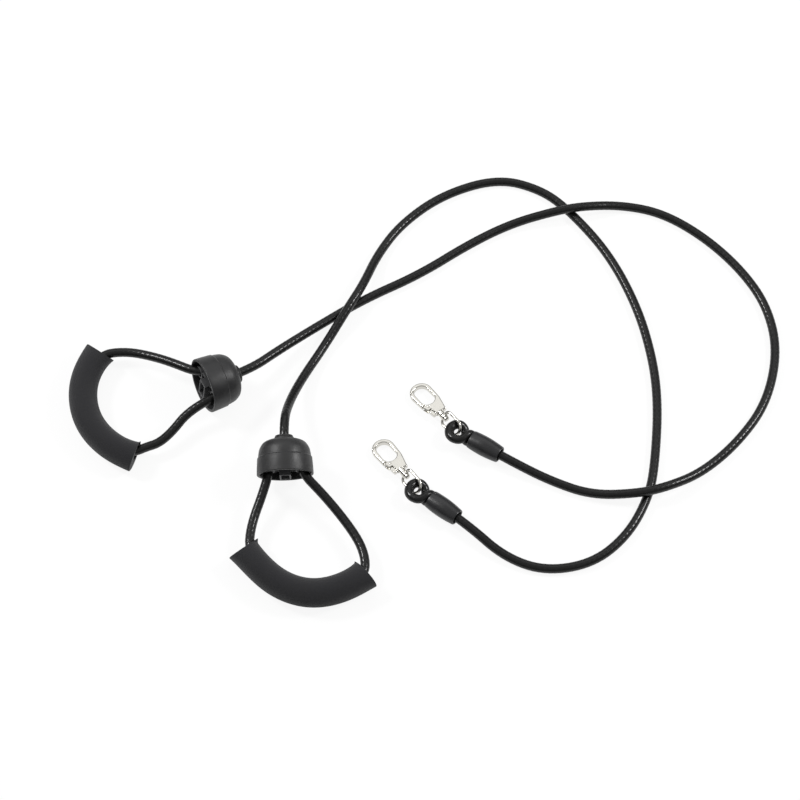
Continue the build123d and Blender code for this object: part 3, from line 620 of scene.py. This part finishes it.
def grip_line(band, bend):
    """The grip's middle line, and its outward direction, at lengths -1.2 to 1.2 of its half:
    its heading turns by most x tanh(t / (most x radius)) from the middle, so the ends may run
    straighter than the middle."""
    first_most, last_most, radius = bend
    t = np.linspace(-0.6 * GRIP_LENGTH, 0.6 * GRIP_LENGTH, 601)
    most = np.where(t < 0, first_most, last_most)
    bearing = math.radians(band["grip_middle"]) + most * np.tanh(t / (most * radius))
    outward = np.stack([np.cos(bearing), np.sin(bearing), 0 * t], -1)
    onward = np.stack([-np.sin(bearing), np.cos(bearing), 0 * t], -1)
    line = np.cumsum((onward + np.roll(onward, 1, 0)) / 2 * (t[1] - t[0]), 0)
    centre = np.array([*band["grip_centre"], GRIP_RADIUS])
    line += centre + GRIP_ARC * heading(band["grip_middle"]) - line[len(t) // 2]
    return t, line, outward, onward


def along_line(t, stations, values):
    """Values along a line, read at the lengths t."""
    return np.stack([np.interp(t, stations, values[:, k]) for k in range(3)], -1)


def grip_grid(band, cuts, bend, trim):
    """A point is a mix of two ovals at an angle round the tube: q = 0 on the bore, which is a
    circle about the cord, and q = 1 on the outside. The profile runs along the outside, over
    the end face, back through the bore, and over the other end face. A slanted cut moves a
    point along the line by the cut times its height over the tube's radius, and the trim draws
    the last end back."""
    half_length, room = GRIP_LENGTH / 2, GRIP_END_ROUND
    wall = GRIP_RADIUS - BORE_RADIUS
    end = np.linspace(0, np.pi / 2, 7)
    face = np.linspace(1 - room / wall, room / wall, 5)
    out_t = np.linspace(-half_length + room, half_length - room, 150)
    top_t = half_length - room + room * np.sin(end)
    t = np.concatenate([out_t, top_t[1:], 0 * face[1:-1] + half_length, top_t[::-1],
                        out_t[-2:0:-2], -top_t, 0 * face[1:-1] - half_length,
                        -top_t[::-1][:-1]])
    lip = room / wall * (1 - np.cos(end))
    q = np.concatenate([0 * out_t + 1, 1 - lip[1:], face[1:-1], lip[::-1],
                        0 * out_t[-2:0:-2], lip, face[::-1][1:-1], 1 - lip[::-1][:-1]])
    stations, middle, outward, onward = grip_line(band, bend)
    middle, outward, onward = (along_line(t, stations, v) for v in (middle, outward, onward))
    away = band["loop_line"][None] - middle[:, None]
    off = np.abs((away * onward[:, None]).sum(-1)) + NEARNESS * np.linalg.norm(away, axis=-1)
    away = away[np.arange(len(t)), off.argmin(1)]
    reach, lift = (away * outward).sum(-1), away[:, 2]
    print("cord off the grip's middle by up to", (np.abs(reach).max() * 1000).round(1), "mm")
    round_it = 2 * np.pi * np.arange(GRIP_COLUMNS)[None] / GRIP_COLUMNS
    near_end = (np.abs(t) / half_length)[:, None] ** 8
    bore = BORE_RADIUS + BORE_FLARE * near_end ** 0.5
    width = GRIP_RADIUS + GRIP_FLARE * near_end
    tall = GRIP_RADIUS - GRIP_FLAT * near_end
    wave = np.sin(t * WAVE_ALONG)[:, None] * np.cos(round_it + t[:, None] * WAVE_TWIST)
    swell = 1 + GRIP_WAVE * wave
    q = q[:, None]
    across = ((1 - q) * (reach[:, None] + bore * np.cos(round_it))
              + q * (width * np.cos(round_it) * swell))
    above = ((1 - q) * (lift[:, None] + bore * np.sin(round_it))
             + q * (tall * np.sin(round_it) * swell - (GRIP_RADIUS - tall)))
    share = np.abs(t[:, None] / half_length) ** 3
    slant = np.where(t[:, None] < 0, cuts[0], -cuts[1]) * share * above / GRIP_RADIUS
    slant = slant - np.where(t[:, None] < 0, 0, trim) * share
    return (middle[:, None] + slant[..., None] * onward[:, None]
            + across[..., None] * outward[:, None] + above[..., None] * np.array([0, 0, 1]))


for side, band in BANDS.items():
    shape = grip_grid(band, GRIP_CUTS[side], GRIP_BENDS[side], GRIP_TRIMS[side])
    grip = solid(f"{side}_foam_grip", shape, foam, ring=True)
    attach(grip, f"{side}_grip")
    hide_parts(f"{side}_grip_sleeve")
    print(grip.name, "faces", len(grip.data.polygons))

# %% [markdown]
# ## Stopper bells and their neck rings
# A bell is a turned shape: a straight band at the rim, a crease, a domed crown and a short
# neck. The ring that lines the neck is a second turned shape, a rounded bead with a funnel
# that the cord can wear against. Both spin on the cord, so they ride on the bell's body.

# %% Turn the bells
BELL_PROFILE = rounded([
    (0.0219, 0.0000, 0.0008), (0.0245, 0.0000, 0.0009), (0.0243, 0.0060, 0.0030),
    (0.0237, 0.0150, 0.0005), (0.0229, 0.0156, 0.0004), (0.02265, 0.0185, 0.0016),
    (0.0217, 0.0232, 0.0022), (0.0186, 0.0282, 0.0024), (0.0138, 0.0305, 0.0022),
    (0.0090, 0.0310, 0.0010), (0.0084, 0.0330, 0.0003), (0.0067, 0.0330, 0.0003),
    (0.0067, 0.0285, 0.0004), (0.0120, 0.0277, 0.0020), (0.0172, 0.0250, 0.0030),
    (0.0199, 0.0180, 0.0030),
])
RING_PROFILE = rounded([
    (0.0044, 0.0286, 0.0002), (0.0044, 0.0325, 0.0010), (0.0058, 0.0348, 0.0004),
    (0.0072, 0.0349, 0.0007), (0.0079, 0.0340, 0.0006), (0.0078, 0.0331, 0.0004),
    (0.0065, 0.0331, 0.0001), (0.0065, 0.0286, 0.0003),
])

for side, band in BANDS.items():
    bell = turned(f"{side}_bell_shell", band["bell"], BELL_PROFILE, bell_rubber)
    ring = turned(f"{side}_neck_ring", band["bell"], RING_PROFILE, bell_rubber, columns=72)
    for piece, node in ((bell, "stopper_bell"), (ring, "neck_bush")):
        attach(piece, f"{side}_bell")
        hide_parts(f"{side}_{node}")
    print(side, "bell and ring turned about", band["bell"].z.round(3))

# %% [markdown]
# ## End sleeves
# The sleeve is a barrel: oval where the eye's strands enter, round in the middle, and open at
# the cord's end, where its wall shows as a thin rim. It is one surface that starts in the
# recessed mouth, runs over the outside, turns in at the rim and closes on the hidden ferrule.

# %% Draw the sleeves
# height along the sleeve, half width, half height; the table runs from mouth to cavity floor
SLEEVE_STATIONS = np.array([
    (0.0016, 0.0001, 0.0001), (0.0016, 0.0044, 0.0036), (0.0013, 0.0070, 0.0060),
    (0.0003, 0.0074, 0.0064), (0.0000, 0.0077, 0.0067), (0.0004, 0.0081, 0.0071),
    (0.0015, 0.0083, 0.0074), (0.0050, 0.0086, 0.0079), (0.0100, 0.00875, 0.0085),
    (0.0150, 0.0087, 0.0087), (0.0200, 0.0084, 0.0085), (0.0250, 0.0079, 0.0079),
    (0.0280, 0.0075, 0.0075), (0.0291, 0.00725, 0.00725), (0.0295, 0.0069, 0.0069),
    (0.0294, 0.0062, 0.0062), (0.0289, 0.0058, 0.0058), (0.0270, 0.0056, 0.0056),
    (0.0175, 0.0055, 0.0055), (0.0172, 0.0052, 0.0052), (0.0171, 0.0020, 0.0020),
    (0.0171, 0.0001, 0.0001),
])


def sleeve_grid(axes, rows=150, columns=80):
    """Ovals (w cos a, h sin a) at each station; between stations the three numbers follow a
    curve that leaves each station towards its neighbours' chord (Catmull and Rom's)."""
    table = SLEEVE_STATIONS
    spot = np.linspace(0, len(table) - 1, rows)
    k = np.minimum(spot.astype(int), len(table) - 2)
    f = (spot - k)[:, None]
    p0, p1, p2, p3 = (table[np.clip(k + j, 0, len(table) - 1)] for j in (-1, 0, 1, 2))
    value = 0.5 * (2 * p1 + (p2 - p0) * f + (2 * p0 - 5 * p1 + 4 * p2 - p3) * f ** 2
                   + (3 * p1 - p0 - 3 * p2 + p3) * f ** 3)
    angle = 2 * np.pi * np.arange(columns)[None] / columns
    return axes.place(value[:, 1:2] * np.cos(angle), value[:, 2:3] * np.sin(angle),
                      value[:, :1] + 0 * angle)


for side, band in BANDS.items():
    sleeve = solid(f"{side}_rubber_sleeve", sleeve_grid(band["sleeve"]), sleeve_rubber)
    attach(sleeve, "root")
    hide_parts(f"{side}_end_sleeve")
    print(sleeve.name, "size", [round(v * 1000, 1) for v in sleeve.dimensions])

# %% [markdown]
# ## Cord eyes
# The end of the cord is drawn into a tight eye round the swivel. One strand leaves the sleeve,
# passes under the other, goes once round and comes back over itself, so the two strands
# pinch the hole small. The cord isn't stretched here, so it is a little fatter in the ring.

# %% Tie the eyes
EYE_SWELL = 0.2  # share of the radius by which the slack cord is fatter halfway round
# reach from the sleeve's mouth, sideways, and down from the sleeve's middle
EYE_ROUTES = {
    "left": [
        (-0.0022, 0.0039, 0.0004), (0.0018, 0.0040, 0.0014), (0.0054, 0.0020, 0.0044),
        (0.0088, -0.0058, 0.0046), (0.0144, -0.0088, 0.0024), (0.0198, -0.0054, 0.0004),
        (0.0212, 0.0016, -0.0008), (0.0174, 0.0079, -0.0018), (0.0108, 0.0093, -0.0028),
        (0.0050, 0.0066, -0.0040), (0.0036, -0.0012, -0.0044), (0.0016, -0.0039, -0.0016),
        (-0.0022, -0.0039, -0.0004),
    ],
    "right": [
        (-0.0022, 0.0040, 0.0004), (0.0014, 0.0044, 0.0014), (0.0050, 0.0028, 0.0046),
        (0.0088, -0.0054, 0.0050), (0.0146, -0.0082, 0.0032), (0.0197, -0.0054, 0.0006),
        (0.0211, 0.0014, -0.0006), (0.0176, 0.0081, -0.0016), (0.0108, 0.0098, -0.0026),
        (0.0043, 0.0073, -0.0040), (0.0029, -0.0004, -0.0046), (0.0014, -0.0040, -0.0016),
        (-0.0022, -0.0039, -0.0004),
    ],
}

for side, band in BANDS.items():
    route = [band["sleeve"].place(across, down, -reach)
             for reach, across, down in EYE_ROUTES[side]]
    eye, line, length = braided_tube(f"{side}_cord_eye", route, EYE_CORD_DIAMETER, EYE_SWELL)
    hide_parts(f"{side}_eye_cord")

# %% [markdown]
# ## Cast and plated pieces
# The hooks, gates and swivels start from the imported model's shapes, because their gaps and
# pivots have to work. A copy of each is remeshed into even small faces and smoothed, which
# rounds every edge the way casting and plating do.


# %% Castings
def cast(node, name, body, voxel, smooth, material):
    """An evenly meshed and smoothed copy of a CAD node: its points are merged, it is rebuilt on
    a grid of small cubes, and each point then moves towards its neighbours' mean."""
    mesh = frame["nodes"][node].data.copy()
    mesh.materials.clear()
    mesh.materials.append(material)
    made = bpy.data.objects.new(name, mesh)
    bpy.context.scene.collection.objects.link(made)
    weld = made.modifiers.new("weld", "WELD")
    weld.merge_threshold = 1e-6
    grid = made.modifiers.new("even faces", "REMESH")
    grid.mode = "VOXEL"
    grid.voxel_size = voxel
    grid.use_smooth_shade = True
    soft = made.modifiers.new("soft edges", "SMOOTH")
    soft.iterations = smooth
    soft.factor = 0.5
    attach(made, body)
    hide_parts(node)
    shape = made.evaluated_get(bpy.context.evaluated_depsgraph_get())
    print(name, "faces", len(shape.data.polygons))
    return made


# node, name, body, size of the small cubes, rounds of smoothing
CASTINGS = [
    ("hook_body", "hook_casting", "hook", 0.00020, 6),
    ("hook_gate", "gate_casting", "gate", 0.00014, 4),
    ("swivel_eye", "swivel_bail", "eye_swivel", 0.00015, 5),
    ("swivel_rivet", "swivel_post", "hook", 0.00013, 4),
    ("gate_pin", "gate_rivet", "hook", 0.00010, 2),
]

for side in BANDS:
    for node, name, body, voxel, smooth in CASTINGS:
        cast(f"{side}_{node}", f"{side}_{name}", f"{side}_{body}", voxel, smooth, nickel)

# %% [markdown]
# ## The moulded core
# The core closes the bell and holds both legs of the hand loop. Only its open face shows, deep
# in the rim's shadow: a ribbed middle block with a dark socket, and the two leg sockets.

# %% Core, ferrules and springs
for side in BANDS:
    cast(f"{side}_loop_core", f"{side}_core_moulding", "root", 0.00032, 2, core_nylon)
    for node, finish in (("loop_ferrule", plain_metal), ("eye_ferrule", plain_metal),
                         ("gate_spring", spring_wire)):
        mesh = frame["nodes"][f"{side}_{node}"].data
        mesh.materials.clear()
        mesh.materials.append(finish)
